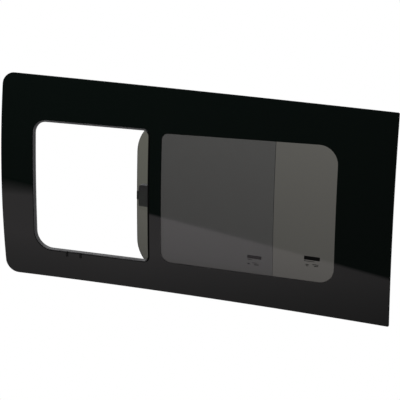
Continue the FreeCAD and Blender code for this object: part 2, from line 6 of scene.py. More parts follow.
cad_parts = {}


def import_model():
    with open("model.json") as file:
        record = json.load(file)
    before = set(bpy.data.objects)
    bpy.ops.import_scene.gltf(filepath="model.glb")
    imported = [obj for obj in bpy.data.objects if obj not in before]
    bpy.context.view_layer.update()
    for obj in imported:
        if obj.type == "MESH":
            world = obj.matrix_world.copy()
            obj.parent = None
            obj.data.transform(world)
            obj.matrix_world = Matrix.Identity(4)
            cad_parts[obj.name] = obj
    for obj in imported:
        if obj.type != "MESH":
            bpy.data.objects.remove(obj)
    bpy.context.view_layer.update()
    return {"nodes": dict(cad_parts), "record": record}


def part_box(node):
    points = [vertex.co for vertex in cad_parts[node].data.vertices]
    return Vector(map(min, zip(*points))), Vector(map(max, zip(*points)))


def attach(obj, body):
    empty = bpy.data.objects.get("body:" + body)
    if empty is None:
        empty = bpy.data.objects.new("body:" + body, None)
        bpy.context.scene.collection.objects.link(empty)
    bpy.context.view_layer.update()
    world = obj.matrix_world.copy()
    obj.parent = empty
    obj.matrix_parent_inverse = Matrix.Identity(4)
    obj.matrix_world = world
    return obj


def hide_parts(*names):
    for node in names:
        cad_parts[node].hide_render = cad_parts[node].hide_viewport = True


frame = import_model()

# Half-slider side window of a van. Units are metres. Heights are first given from the middle of the
# glass, and depths behind its outer face; bend_point() then puts them into the shared frame.

MM = 0.001
BEND_RADIUS = 3100 * MM
GLASS_THICKNESS = 5 * MM
PANE_THICKNESS = 4 * MM

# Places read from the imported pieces
GLASS_LOW, GLASS_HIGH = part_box("fixed_glass")
PANE_LOW, PANE_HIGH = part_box("sliding_glass")
MOUNTS = {mount["name"]: mount for mount in frame["record"]["mounts"]}
CROWN_Y = GLASS_LOW.y
MIDDLE_Z = MOUNTS["upper_middle_seat"]["pos_m"][2] / 2
PANEL_RIGHT = GLASS_HIGH.x
PANEL_LEFT = -PANEL_RIGHT
LEFT_EDGE_BOW = PANEL_LEFT - GLASS_LOW.x

# Fixed glass before it is bent: its height, the bow of its long edges, how far inwards a bow is felt, and
# its corners. The bottom is a hair short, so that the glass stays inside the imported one's box.
PANEL_TOP = 299.25 * MM
PANEL_BOTTOM = -299.24 * MM
TOP_EDGE_BOW = 1.9 * MM
BOTTOM_EDGE_BOW = 7 * MM
BOW_REACH = 60 * MM
CORNER_TOP_LEFT = 34 * MM
CORNER_BOTTOM_LEFT = 38 * MM
CORNER_RIGHT = 4 * MM

# Pane: the depth of its outer face, and its corners
PANE_DEPTH = 12.9 * MM
PANE_LEAD_RADIUS = 100 * MM
PANE_TRAIL_RADIUS = 8 * MM

# Opening cut through the glass: the clear opening inside the seal's lip, grown by the lip
LIP = 6.5 * MM
OPENING_LEFT = -474.5 * MM
OPENING_RIGHT = -127.9 * MM
OPENING_LOW_LEFT = -208.75 * MM
OPENING_LOW_RIGHT = -202.85 * MM
OPENING_TOP_LEFT = 167.25 * MM
OPENING_TOP_RIGHT = 175.75 * MM
OPENING_RADII = (48 * MM, 12 * MM, 16 * MM, 36 * MM)

# Clear area of the fixed glass inside its black fired border
CLEAR_CORNERS = ((-0.0880, -0.2005), (0.4176, -0.1972), (0.4176, 0.1940), (-0.0880, 0.1739))
CLEAR_RADII = (29 * MM, 45 * MM, 54 * MM, 20 * MM)

# Fineness of the curved glass, its ground edge, and how far a cutter reaches past each face
STRIPS = 48
COLUMNS = 28
CORNER_SEGMENTS = 14
ARRIS = 0.8 * MM
ARRIS_SEGMENTS = 2
CUTTER_REACH = 20 * MM

# A bevel with this profile is a true arc
ARC = 0.5

# Closer than HAIR counts as the same place, and points closer than WELD are merged
HAIR = 0.01 * MM
WELD = 0.001 * MM

# How far a face's normal has to point along the depth to count as a front or back, or as wholly flat
FACING = 0.5
WHOLLY_FACING = 0.99

# Edges sharper than this stay sharp
GLASS_EDGE_ANGLE = math.radians(30)
HEAD_EDGE_ANGLE = math.radians(35)

# A plain bar fired onto each glass with a few short dashes below it, in millimetres: place from the middle
# of the glass, then size
FIXED_MARK = (
    ((355.6, -128.7), (45.0, 11.2)),
    ((348.0, -137.8), (30.0, 1.6)),
    ((342.0, -148.0), (9.0, 2.0)),
    ((342.5, -152.0), (6.0, 1.8)),
    ((366.0, -146.0), (17.0, 2.0)),
    ((367.5, -150.3), (12.0, 2.0)),
)
PANE_MARK = (
    ((186.0, -153.0), (41.0, 9.6)),
    ((173.0, -161.6), (13.0, 2.0)),
    ((169.5, -174.0), (7.0, 3.5)),
    ((187.0, -170.0), (13.0, 2.0)),
    ((192.0, -175.0), (14.0, 2.4)),
)
MARK_CORNER = 0.3 * MM
PRINT_GAP = 0.02 * MM
PRINT_THICKNESS = 0.06 * MM

# Screws of the keeper and rivets of the splice plates. A head's rounding is a share of its height, and a
# socket a share of its radius.
KEEPER_EAR = 12 * MM
SCREW_RADIUS = 3.4 * MM
SCREW_HEIGHT = 1.9 * MM
RIVET_RADIUS = 2.5 * MM
RIVET_HEIGHT = 1.1 * MM
RIVET_SPACING = 26 * MM
HEAD_SIDES = 36
HEAD_ROUNDING = 0.6
HEAD_SEGMENTS = 4
SOCKET_SIDES = 6
SOCKET_SHARE = 0.45
TOP_SHARE = 0.99

# Camera: the photo's focal length in pixels for a frame 400 pixels wide, and the camera's place
PHOTO_WIDTH = 400
FOCAL_PIXELS = 1703.5
SENSOR_WIDTH = 36.0
CAMERA_REACH = 100
CAMERA_PLACE = (1.58155, -4.22277, 1.68235)
CAMERA_AZIMUTH = math.radians(20.281)
CAMERA_ELEVATION = math.radians(17.483)
CAMERA_ROLL = math.radians(0.9136)


def srgb(code):
    """Turns an sRGB hex code into a linear colour with full opacity."""
    channels = [int(code[i:i + 2], 16) / 255 for i in (1, 3, 5)]
    return [c / 12.92 if c <= 0.04045 else ((c + 0.055) / 1.055) ** 2.4 for c in channels] + [1.0]


def add(tree, kind, settings=None, links=None):
    """Adds a node to a tree, sets its values and joins its inputs to other nodes' outputs."""
    node = tree.nodes.new(kind)
    for key, value in (settings or {}).items():
        if isinstance(key, int) or key in node.inputs:
            node.inputs[key].default_value = value
        else:
            setattr(node, key, value)
    for key, output in (links or {}).items():
        tree.links.new(output, node.inputs[key])
    return node


def new_material(name):
    """An empty material with its node tree, and the place on the object that its patterns read."""
    material = bpy.data.materials.new(name)
    material.use_nodes = True
    tree = material.node_tree
    tree.nodes.clear()
    return material, tree, add(tree, "ShaderNodeTexCoord").outputs["Object"]


def finish_material(tree, shader):
    """Joins a shader to the material's output."""
    add(tree, "ShaderNodeOutputMaterial", links={"Surface": shader})


# The part of a noise's range that most of it lies in
NOISE_RANGE = {"From Min": 0.3, "From Max": 0.7}

# Float glass, and the share of a face's mirror that is left from inside the tinted glass
GLASS_IOR = 1.52
INNER_SHINE = 0.15


def coat(tree, place, tones, patch, roughness, height, depth, constants=None):
    """What the solid finishes share: two tones in soft patches, roughness that follows them, and relief."""
    cloud = add(tree, "ShaderNodeTexNoise", {"Scale": 1 / patch, "Detail": 3.0}, {"Vector": place})
    colour = add(tree, "ShaderNodeMix", {"data_type": "RGBA", 6: srgb(tones[0]), 7: srgb(tones[1])},
                 {0: cloud.outputs["Fac"]})
    rough = add(tree, "ShaderNodeMapRange", {**NOISE_RANGE, "To Min": roughness[0], "To Max": roughness[1]},
                {"Value": cloud.outputs["Fac"]})
    relief = add(tree, "ShaderNodeBump", {"Strength": 1.0, "Distance": depth}, {"Height": height})
    shader = add(tree, "ShaderNodeBsdfPrincipled", constants,
                 {"Base Color": colour.outputs[2], "Roughness": rough.outputs["Result"],
                  "Normal": relief.outputs["Normal"]})
    finish_material(tree, shader.outputs["BSDF"])


# Toughened float glass over a black fired enamel: a deep greenish black under a mirror-like face that
# waves a very little, as rollers leave it.
def border_glass():
    material, tree, place = new_material("toughened_glass_over_black_enamel")
    wave = add(tree, "ShaderNodeTexNoise", {"Scale": 1 / (140 * MM), "Detail": 0.0}, {"Vector": place})
    coat(tree, place, ("#030806", "#070c0a"), 4 * MM, (0.015, 0.03), wave.outputs["Fac"], 0.03 * MM,
         {"IOR": GLASS_IOR})
    return material


# Black ceramic enamel as it fires on the inner face: matt, with the fine mottle of a screen print.
def enamel_back():
    material, tree, place = new_material("matt_fired_black_enamel")
    mottle = add(tree, "ShaderNodeTexNoise", {"Scale": 1 / (0.5 * MM), "Detail": 2.0}, {"Vector": place})
    coat(tree, place, ("#0b0c0c", "#111313"), 9 * MM, (0.48, 0.6), mottle.outputs["Fac"], 0.01 * MM,
         {"Specular IOR Level": 0.25})
    return material


# Pencil-ground glass edge: a dull green black, its shine broken up by fine scratches of the wheel.
def ground_edge():
    material, tree, place = new_material("pencil_ground_glass_edge")
    scratch = add(tree, "ShaderNodeTexNoise", {"Scale": 1 / (0.6 * MM), "Detail": 4.0}, {"Vector": place})
    coat(tree, place, ("#080b0a", "#101413"), 3 * MM, (0.6, 0.75), scratch.outputs["Fac"], 0.02 * MM,
         {"Specular IOR Level": 0.08})
    return material


# Privacy float glass, tinted in the mass: each face passes part of the light straight on and mirrors a
# little, and what a face mirrors inside the glass is mostly lost in the tint. A trace of haze is dust.
# Shine is the share of a clean face's mirror that shows: all of it on the fixed glass, less on the pane.
def privacy_glass(name, face_tint, shine):
    material, tree, place = new_material(name)
    through = add(tree, "ShaderNodeBsdfTransparent", {"Color": srgb(face_tint)})
    body = add(tree, "ShaderNodeBsdfDiffuse", {"Color": srgb("#5c5c5a")})
    dust = add(tree, "ShaderNodeTexNoise", {"Scale": 1 / (25 * MM), "Detail": 4.0}, {"Vector": place})
    haze = add(tree, "ShaderNodeMapRange", {**NOISE_RANGE, "To Min": 0.005, "To Max": 0.008},
               {"Value": dust.outputs["Fac"]})
    inside = add(tree, "ShaderNodeMixShader", None,
                 {"Fac": haze.outputs["Result"], 1: through.outputs["BSDF"], 2: body.outputs["BSDF"]})
    mirror = add(tree, "ShaderNodeBsdfGlossy", {"Color": srgb("#ffffff"), "Roughness": 0.015})
    edge = add(tree, "ShaderNodeFresnel", {"IOR": GLASS_IOR})
    side = add(tree, "ShaderNodeMapRange", {"To Min": shine, "To Max": INNER_SHINE * shine},
               {"Value": add(tree, "ShaderNodeNewGeometry").outputs["Backfacing"]})
    share = add(tree, "ShaderNodeMath", {"operation": "MULTIPLY"},
                {0: edge.outputs["Fac"], 1: side.outputs["Result"]})
    whole = add(tree, "ShaderNodeMixShader", None,
                {"Fac": share.outputs["Value"], 1: inside.outputs["Shader"], 2: mirror.outputs["BSDF"]})
    finish_material(tree, whole.outputs["Shader"])
    return material


# Black ceramic print fired on the glass: flat and dense, duller than the polished face round it.
def fired_print():
    material, tree, place = new_material("dense_black_ceramic_print")
    edge = add(tree, "ShaderNodeTexNoise", {"Scale": 1 / (0.8 * MM), "Detail": 2.0}, {"Vector": place})
    coat(tree, place, ("#020202", "#060606"), 5 * MM, (0.5, 0.6), edge.outputs["Fac"], 0.003 * MM,
         {"Specular IOR Level": 0.15})
    return material


# Satin black polyester powder on extruded aluminium: an even coat with orange peel about 1.5 mm across.
def powder_coat():
    material, tree, place = new_material("satin_black_powder_coat")
    peel = add(tree, "ShaderNodeTexNoise", {"Scale": 1 / (1.5 * MM), "Detail": 1.0}, {"Vector": place})
    coat(tree, place, ("#121314", "#191a1b"), 40 * MM, (0.34, 0.44), peel.outputs["Fac"], 0.03 * MM)
    return material


# Flock on a rubber run channel: short fibres that take all the shine and show a soft grey rim of light.
# The fibres are drawn 0.4 mm thick, coarser than real ones, so that they show.
def flocked_rubber():
    material, tree, place = new_material("flocked_run_rubber")
    fibre = add(tree, "ShaderNodeTexVoronoi", {"Scale": 1 / (0.4 * MM)}, {"Vector": place})
    coat(tree, place, ("#0a0a0b", "#141415"), 12 * MM, (0.9, 1.0), fibre.outputs["Distance"], 0.15 * MM,
         {"Sheen Weight": 0.35, "Sheen Roughness": 0.4})
    return material


# Cured polyurethane sealant: a rubbery black with a slow ripple from the nozzle and a dull gloss.
def cured_sealant():
    material, tree, place = new_material("cured_black_sealant")
    ripple = add(tree, "ShaderNodeTexNoise", {"Scale": 1 / (7 * MM), "Detail": 2.0}, {"Vector": place})
    coat(tree, place, ("#0a0a0b", "#101011"), 18 * MM, (0.32, 0.5), ripple.outputs["Fac"], 0.25 * MM)
    return material


# Acrylic foam tape: a soft dark grey sheet of a slightly olive cast, with a fine mottle of closed cells
# under 1 mm.
def foam_tape():
    material, tree, place = new_material("dark_grey_foam_tape")
    cells = add(tree, "ShaderNodeTexVoronoi", {"Scale": 1 / (0.7 * MM)}, {"Vector": place})
    coat(tree, place, ("#3a3a34", "#43433c"), 3 * MM, (0.6, 0.75), cells.outputs["Distance"], 0.04 * MM)
    return material


# Extruded EPDM rubber: charcoal, with a grey bloom of wax that catches the light. The upright that the pane
# slides past is flocked, and drawn near black with little mirror there: painted shade for the dark room that
# it faces.
def seal_rubber():
    material, tree, place = new_material("bloomed_seal_rubber_with_flock_and_painted_shade")
    skin = add(tree, "ShaderNodeTexNoise", {"Scale": 1 / (0.9 * MM), "Detail": 2.0}, {"Vector": place})
    bloom = add(tree, "ShaderNodeTexNoise", {"Scale": 1 / (22 * MM), "Detail": 3.0}, {"Vector": place})
    rubber = add(tree, "ShaderNodeMix", {"data_type": "RGBA", 6: srgb("#3a3a3b"), 7: srgb("#444445")},
                 {0: bloom.outputs["Fac"]})
    across = add(tree, "ShaderNodeSeparateXYZ", links={"Vector": place})
    # Painted shade: the flocked upright beside the pane is drawn near black, darker than the rest of the seal
    flock_and_painted_shade = add(tree, "ShaderNodeMapRange",
                {"From Min": OPENING_RIGHT - 9 * MM, "From Max": OPENING_RIGHT - 1 * MM},
                {"Value": across.outputs["X"]})
    colour = add(tree, "ShaderNodeMix", {"data_type": "RGBA", 7: srgb("#070707")},
                 {0: flock_and_painted_shade.outputs["Result"], 6: rubber.outputs[2]})
    rough = add(tree, "ShaderNodeMapRange", {"To Min": 0.42, "To Max": 0.95},
                {"Value": flock_and_painted_shade.outputs["Result"]})
    shine = add(tree, "ShaderNodeMapRange", {"To Min": 0.5, "To Max": 0.08},
                {"Value": flock_and_painted_shade.outputs["Result"]})
    relief = add(tree, "ShaderNodeBump", {"Strength": 1.0, "Distance": 0.01 * MM},
                 {"Height": skin.outputs["Fac"]})
    shader = add(tree, "ShaderNodeBsdfPrincipled", None,
                 {"Base Color": colour.outputs[2], "Roughness": rough.outputs["Result"],
                  "Specular IOR Level": shine.outputs["Result"], "Normal": relief.outputs["Normal"]})
    finish_material(tree, shader.outputs["BSDF"])
    return material


# Soft rubber of the drain lips: dead black, its shine lost in the rough cut skin.
def lip_rubber():
    material, tree, place = new_material("matt_drain_lip_rubber")
    cut = add(tree, "ShaderNodeTexNoise", {"Scale": 1 / (0.5 * MM), "Detail": 3.0}, {"Vector": place})
    coat(tree, place, ("#141414", "#1c1c1c"), 2 * MM, (0.8, 0.95), cut.outputs["Fac"], 0.05 * MM,
         {"Specular IOR Level": 0.1})
    return material


# Moulded polypropylene with a leather-like tool grain of about 1 mm.
def grained_plastic():
    material, tree, place = new_material("grained_black_polypropylene")
    grain = add(tree, "ShaderNodeTexVoronoi", {"Scale": 1 / (1.0 * MM), "feature": "SMOOTH_F1"},
                {"Vector": place})
    coat(tree, place, ("#111112", "#1a1a1b"), 15 * MM, (0.42, 0.55), grain.outputs["Distance"], 0.1 * MM)
    return material


# Moulded black nylon: a waxy satin with faint flow marks, lighter where it rubs.
def moulded_nylon():
    material, tree, place = new_material("moulded_black_nylon")
    flow = add(tree, "ShaderNodeTexNoise", {"Scale": 1 / (2.5 * MM), "Detail": 3.0}, {"Vector": place})
    coat(tree, place, ("#101011", "#1c1c1d"), 8 * MM, (0.38, 0.5), flow.outputs["Fac"], 0.03 * MM,
         {"IOR": 1.53})
    return material


# Black-grey ABS from a spark-eroded tool: a fine even grain of 0.6 mm and a soft gloss.
def latch_plastic():
    material, tree, place = new_material("fine_grained_black_abs")
    grain = add(tree, "ShaderNodeTexNoise", {"Scale": 1 / (0.6 * MM), "Detail": 2.0}, {"Vector": place})
    coat(tree, place, ("#373532", "#3f3d39"), 10 * MM, (0.3, 0.4), grain.outputs["Fac"], 0.02 * MM,
         {"IOR": 1.54})
    return material


# Bright zinc plate on steel: a pale bluish metal, drawn across and slightly dulled in patches.
def zinc_plate():
    material, tree, place = new_material("bright_zinc_plated_steel")
    lines = add(tree, "ShaderNodeTexNoise", {"Scale": 1 / (0.5 * MM), "Detail": 3.0}, {"Vector": place})
    coat(tree, place, ("#a9adb2", "#c3c6c9"), 3 * MM, (0.25, 0.38), lines.outputs["Fac"], 0.008 * MM,
         {"Metallic": 1.0})
    return material


# Smooth acetal of a bolt that has to slide: a slick satin black with few marks.
def slick_acetal():
    material, tree, place = new_material("slick_black_acetal")
    marks = add(tree, "ShaderNodeTexNoise", {"Scale": 1 / (3 * MM), "Detail": 1.0}, {"Vector": place})
    coat(tree, place, ("#19191a", "#1f1f20"), 6 * MM, (0.28, 0.36), marks.outputs["Fac"], 0.01 * MM,
         {"IOR": 1.48})
    return material


# Firm cut rubber of the spacer blocks: matt charcoal with the drag marks of the knife.
def block_rubber():
    material, tree, place = new_material("firm_cut_spacer_rubber")
    drag = add(tree, "ShaderNodeTexNoise", {"Scale": 1 / (1.2 * MM), "Detail": 4.0}, {"Vector": place})
    coat(tree, place, ("#111112", "#1b1b1c"), 7 * MM, (0.65, 0.8), drag.outputs["Fac"], 0.06 * MM)
    return material


FINISHES = {
    "border": border_glass(),
    "enamel": enamel_back(),
    "edge": ground_edge(),
    "fixed_glass": privacy_glass("privacy_glass_fixed", "#e3e3e9", 1.0),
    "sliding_glass": privacy_glass("privacy_glass_sliding", "#ebecef", 0.4),
    "print": fired_print(),
    "channel": powder_coat(),
    "liner": flocked_rubber(),
    "adhesive": cured_sealant(),
    "foam_tape": foam_tape(),
    "seal": seal_rubber(),
    "lip_rubber": lip_rubber(),
    "cap_plastic": grained_plastic(),
    "shoe_nylon": moulded_nylon(),
    "latch_plastic": latch_plastic(),
    "pin_steel": zinc_plate(),
    "bolt_nylon": slick_acetal(),
    "spacer_rubber": block_rubber(),
}
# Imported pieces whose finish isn't that of their material slot
OWN_FINISHES = {"latch_pad": "foam_tape", "drain_lip_left": "lip_rubber", "drain_lip_right": "lip_rubber"}


def dress_packed_pieces():
    """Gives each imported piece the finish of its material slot, or its own where it has one."""
    for row in frame["record"]["subparts"]:
        mesh = frame["nodes"][row["node"]].data
        mesh.materials.clear()
        mesh.materials.append(FINISHES[OWN_FINISHES.get(row["node"], row["material_slot"])])


def deselect():
    """Leaves edit mode and selects nothing."""
    if bpy.context.object and bpy.context.object.mode != "OBJECT":
        bpy.ops.object.mode_set(mode="OBJECT")
    bpy.ops.object.select_all(action="DESELECT")


def activate(piece):
    """Selects one piece alone and makes it the active one."""
    deselect()
    piece.select_set(True)
    bpy.context.view_layer.objects.active = piece


def edit(piece, kind, chosen):
    """Opens a piece in edit mode with only the chosen vertices, edges or faces selected."""
    activate(piece)
    bpy.ops.object.mode_set(mode="EDIT")
    bpy.ops.mesh.select_mode(type=kind)
    bpy.ops.mesh.select_all(action="DESELECT")
    bpy.ops.object.mode_set(mode="OBJECT")
    mesh = piece.data
    items = {"VERT": mesh.vertices, "EDGE": mesh.edges, "FACE": mesh.polygons}[kind]
    for item in items:
        item.select = bool(chosen(item))
    bpy.ops.object.mode_set(mode="EDIT")


def slab(name, corners, radii, front, back, arris=0.0):
    """A flat slab with a rounded four-cornered outline in X and Z, given from low left round to high left."""
    deselect()
    bpy.ops.mesh.primitive_cube_add(size=2)
    piece = bpy.context.object
    piece.name = name
    mesh = piece.data
    mesh.name = name
    order = {(False, False): 0, (True, False): 1, (True, True): 2, (False, True): 3}
    for vertex in mesh.vertices:
        x, z = corners[order[(vertex.co.x > 0, vertex.co.z > 0)]]
        vertex.co = (x, back if vertex.co.y > 0 else front, z)
    for (x, z), radius in zip(corners, radii):
        def upright(edge):
            ends = [mesh.vertices[i].co for i in edge.vertices]
            return all(abs(end.x - x) < HAIR and abs(end.z - z) < HAIR for end in ends)
        edit(piece, "EDGE", upright)
        bpy.ops.mesh.bevel(offset=radius, segments=CORNER_SEGMENTS, profile=ARC, affect="EDGES")
    if arris > 0:
        def on_rim(edge):
            ends = [mesh.vertices[i].co for i in edge.vertices]
            return abs(ends[0].y - ends[1].y) < HAIR
        edit(piece, "EDGE", on_rim)
        bpy.ops.mesh.bevel(offset=arris, segments=ARRIS_SEGMENTS, profile=ARC, affect="EDGES")
    deselect()
    return piece


def cut_evenly(piece, count, low, high, across):
    """Cuts a slab into even strips across an axis, so that it can be bent and bowed."""
    for index in range(1, count):
        level = low + (high - low) * index / count
        edit(piece, "FACE", lambda face: True)
        bpy.ops.mesh.bisect(plane_co=Vector(across) * level, plane_no=across)
    deselect()


def combine(piece, other, operation, keep=False):
    """Cuts a piece with another, or keeps what both share. The other piece goes, unless it is kept."""
    activate(piece)
    modifier = piece.modifiers.new("cut", "BOOLEAN")
    modifier.operation = operation
    modifier.solver = "EXACT"
    modifier.object = other
    bpy.ops.object.modifier_apply(modifier=modifier.name)
    if not keep:
        bpy.data.objects.remove(other)


def copy_of(piece, name):
    """A copy with a mesh of its own."""
    twin = piece.copy()
    twin.data = piece.data.copy()
    twin.name = name
    bpy.context.scene.collection.objects.link(twin)
    return twin


def join(pieces, name):
    """Makes one piece of several."""
    activate(pieces[0])
    for other in pieces[1:]:
        other.select_set(True)
    bpy.ops.object.join()
    pieces[0].name = name
    pieces[0].data.name = name
    return pieces[0]


def bend_point(x, depth, z):
    """Where a place on the flat drawing lies on the bent window, in the shared frame."""
    radius = BEND_RADIUS - depth
    return Vector((x, CROWN_Y + BEND_RADIUS - math.sqrt(radius * radius - z * z), MIDDLE_Z + z))


def bend(piece):
    """Bends a flat piece to the window's curve and gives its faces the curve's own normals."""
    mesh = piece.data
    flat = [Vector(face.normal) for face in mesh.polygons]
    for vertex in mesh.vertices:
        vertex.co = bend_point(*vertex.co)
    mesh.update()
    activate(piece)
    bpy.ops.object.shade_smooth_by_angle(angle=GLASS_EDGE_ANGLE)
    normals = [Vector((0, 0, 0))] * len(mesh.loops)
    for face, normal in zip(mesh.polygons, flat):
        if abs(normal.y) < WHOLLY_FACING:
            continue
        for loop in face.loop_indices:
            place = mesh.vertices[mesh.loops[loop].vertex_index].co
            out = Vector((0, place.y - CROWN_Y - BEND_RADIUS, place.z - MIDDLE_Z)).normalized()
            normals[loop] = out if normal.y < 0 else -out
    mesh.normals_split_custom_set(normals)
    deselect()


def finish_faces(piece, finishes, choose):
    """Gives each face of a piece one of the finishes."""
    mesh = piece.data
    mesh.materials.clear()
    for finish in finishes:
        mesh.materials.append(FINISHES[finish])
    for face in mesh.polygons:
        face.material_index = finishes.index(choose(face))


def place_piece(piece, slot, *replaced):
    """Hides the imported pieces that a new piece replaces and hangs it on the root. Its slot is not used."""
    if replaced:
        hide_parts(*replaced)
    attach(piece, "root")


def bow_edges(piece):
    """Bows the left, top and bottom edges of the fixed glass a little."""
    for vertex in piece.data.vertices:
        x, y, z = vertex.co
        along_x = 1 - (x / PANEL_RIGHT) ** 2
        along_z = 1 - (z / PANEL_TOP) ** 2
        x -= LEFT_EDGE_BOW * along_z * max(0.0, 1 - (x - PANEL_LEFT) / BOW_REACH)
        z += TOP_EDGE_BOW * along_x * max(0.0, 1 - (PANEL_TOP - z) / BOW_REACH)
        z += BOTTOM_EDGE_BOW * along_x * max(0.0, 1 - (z - PANEL_BOTTOM) / BOW_REACH)
        vertex.co = (x, y, z)


def border_finish(face):
    """Gloss on the outer face, bare enamel on the inner one and a ground edge between them."""
    if face.normal.y < -FACING:
        return "border"
    if face.normal.y > FACING:
        return "enamel"
    return "edge"


def fixed_glass():
    """The curved outer glass: black fired border, clear area and the opening cut through it."""
    corners = [(PANEL_LEFT, PANEL_BOTTOM), (PANEL_RIGHT, PANEL_BOTTOM),
               (PANEL_RIGHT, PANEL_TOP), (PANEL_LEFT, PANEL_TOP)]
    radii = [CORNER_BOTTOM_LEFT, CORNER_RIGHT, CORNER_RIGHT, CORNER_TOP_LEFT]
    border = slab("curved_fixed_glass", corners, radii, 0, GLASS_THICKNESS, ARRIS)
    cut_evenly(border, STRIPS, PANEL_BOTTOM, PANEL_TOP, (0, 0, 1))
    cut_evenly(border, COLUMNS, PANEL_LEFT, PANEL_RIGHT, (1, 0, 0))
    opening = [(OPENING_LEFT - LIP, OPENING_LOW_LEFT - LIP), (OPENING_RIGHT + LIP, OPENING_LOW_RIGHT - LIP),
               (OPENING_RIGHT + LIP, OPENING_TOP_RIGHT + LIP), (OPENING_LEFT - LIP, OPENING_TOP_LEFT + LIP)]
    opening_radii = [radius + LIP for radius in OPENING_RADII]
    combine(border, slab("opening", opening, opening_radii, -CUTTER_REACH, CUTTER_REACH), "DIFFERENCE")
    clear = copy_of(border, "clear_area")
    window = slab("window", CLEAR_CORNERS, CLEAR_RADII, -CUTTER_REACH, CUTTER_REACH)
    combine(clear, window, "INTERSECT", keep=True)
    combine(border, window, "DIFFERENCE")
    finish_faces(clear, ["fixed_glass"], lambda face: "fixed_glass")
    finish_faces(border, ["border", "enamel", "edge"], border_finish)
    join([border, clear], "curved_fixed_glass")
    edit(border, "VERT", lambda vertex: True)
    bpy.ops.mesh.remove_doubles(threshold=WELD)
    bpy.ops.mesh.select_mode(type="FACE")
    bpy.ops.mesh.select_all(action="DESELECT")
    bpy.ops.mesh.select_interior_faces()
    bpy.ops.mesh.delete(type="FACE")
    deselect()
    bow_edges(border)
    bend(border)
    place_piece(border, "fixed_glass", "fixed_glass")


def sliding_glass():
    """The pane that slides behind the fixed glass, standing open."""
    low = PANE_LOW.z - MIDDLE_Z
    high = PANE_HIGH.z - MIDDLE_Z
    corners = [(PANE_LOW.x, low), (PANE_HIGH.x, low), (PANE_HIGH.x, high), (PANE_LOW.x, high)]
    radii = [PANE_LEAD_RADIUS, PANE_TRAIL_RADIUS, PANE_TRAIL_RADIUS, PANE_LEAD_RADIUS]
    pane = slab("curved_sliding_glass", corners, radii, PANE_DEPTH, PANE_DEPTH + PANE_THICKNESS, ARRIS)
    cut_evenly(pane, STRIPS, low, high, (0, 0, 1))
    finish_faces(pane, ["sliding_glass", "edge"],
                 lambda face: "sliding_glass" if abs(face.normal.y) > FACING else "edge")
    bend(pane)
    place_piece(pane, "sliding_glass", "sliding_glass")


def printed_mark(name, bars, depth, slot):
    """A plain black bar with short dashes below it, fired onto a glass whose face lies at a depth."""
    pieces = []
    for (x, z), (width, height) in bars:
        left, right = (x - width / 2) * MM, (x + width / 2) * MM
        low, high = (z - height / 2) * MM, (z + height / 2) * MM
        corners = [(left, low), (right, low), (right, high), (left, high)]
        back = depth - PRINT_GAP
        pieces.append(slab("bar", corners, [MARK_CORNER] * 4, back - PRINT_THICKNESS, back))
    mark = join(pieces, name)
    finish_faces(mark, ["print"], lambda face: "print")
    bend(mark)
    place_piece(mark, slot)


def fastener_head(radius, height, socket):
    """A low round head that stands on the level plane, with a hexagon socket if it is a screw's."""
    deselect()
    bpy.ops.mesh.primitive_cylinder_add(vertices=HEAD_SIDES, radius=radius, depth=height,
                                        location=(0, 0, height / 2))
    head = bpy.context.object
    bpy.ops.object.transform_apply(location=True, rotation=False, scale=False)

    def top_rim(edge):
        ends = [head.data.vertices[i].co.z for i in edge.vertices]
        return min(ends) > height * TOP_SHARE
    edit(head, "EDGE", top_rim)
    bpy.ops.mesh.bevel(offset=height * HEAD_ROUNDING, segments=HEAD_SEGMENTS, profile=ARC, affect="EDGES")
    deselect()
    if socket:
        bpy.ops.mesh.primitive_cylinder_add(vertices=SOCKET_SIDES, radius=radius * SOCKET_SHARE, depth=height,
                                            location=(0, 0, height))
        combine(head, bpy.context.object, "DIFFERENCE")
    activate(head)
    bpy.ops.object.shade_smooth_by_angle(angle=HEAD_EDGE_ANGLE)
    return head


def stand_on(head, foot, facing):
    """Moves a head, in its mesh, to stand on a face that looks one way."""
    turn = Vector((0, 0, 1)).rotation_difference(Vector(facing)).to_matrix().to_4x4()
    head.data.transform(Matrix.Translation(foot) @ turn)
    return head


def fasteners(name, slot, feet, facing, radius, height, socket):
    """Equal heads as one piece, each on its own foot: one is modelled, and the others are copies of it."""
    model = fastener_head(radius, height, socket)
    heads = [stand_on(copy_of(model, name), foot, facing) for foot in feet]
    bpy.data.objects.remove(model)
    piece = join(heads, name)
    finish_faces(piece, [slot], lambda face: slot)
    place_piece(piece, slot)


def keeper_screws():
    """One screw through each ear of the keeper into the jamb."""
    low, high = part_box("keeper")
    x = (low.x + high.x) / 2
    feet = [(x, high.y, z) for z in (low.z + KEEPER_EAR / 2, high.z - KEEPER_EAR / 2)]
    fasteners("keeper_screws", "pin_steel", feet, (0, 1, 0), SCREW_RADIUS, SCREW_HEIGHT, True)


def splice_rivets(side, up):
    """Two rivets through a splice plate, one each side of the joint that it bridges."""
    low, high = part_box(side + "_splice")
    y = (low.y + high.y) / 2
    z = high.z if up > 0 else low.z
    feet = [((low.x + high.x + step) / 2, y, z) for step in (-RIVET_SPACING, RIVET_SPACING)]
    fasteners(side + "_splice_rivets", "channel", feet, (0, 0, up), RIVET_RADIUS, RIVET_HEIGHT, False)


